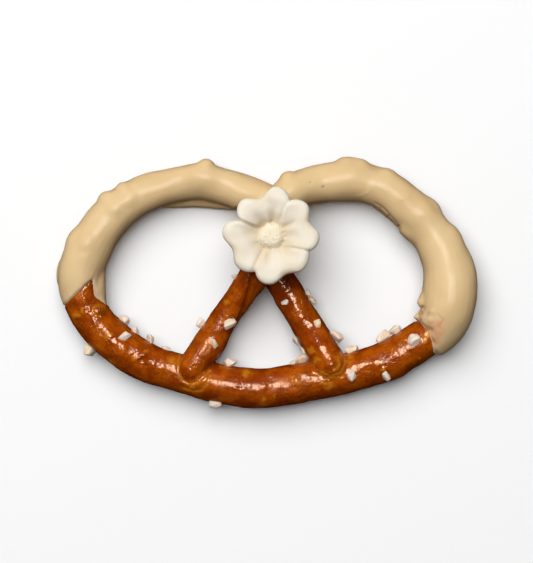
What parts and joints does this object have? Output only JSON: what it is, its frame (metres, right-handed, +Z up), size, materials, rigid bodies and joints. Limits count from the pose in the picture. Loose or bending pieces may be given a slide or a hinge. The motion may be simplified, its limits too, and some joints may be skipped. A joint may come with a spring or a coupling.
{
  "type": "dipped pretzel",
  "caption": "Small glossy salted pretzel with its upper loops dipped in white chocolate and a sugar flower on the twist.",
  "frame": {"origin": "the middle of the pretzel's bounding box, on the table", "axes": "+X towards the larger coated loop, +Y from the bare base arc towards the tops of the loops, +Z up from the table"},
  "size_m": [0.0676, 0.0404, 0.0123],
  "materials": {
    "dough": "glossy brown lye crust with coarse salt",
    "coating": "satin white chocolate, a warm beige",
    "flower": "matt off-white sugar paste"
  },
  "bodies": {
    "root": {"dough": "dough", "coating": "coating", "flower": "flower"}
  },
  "joints": []
}
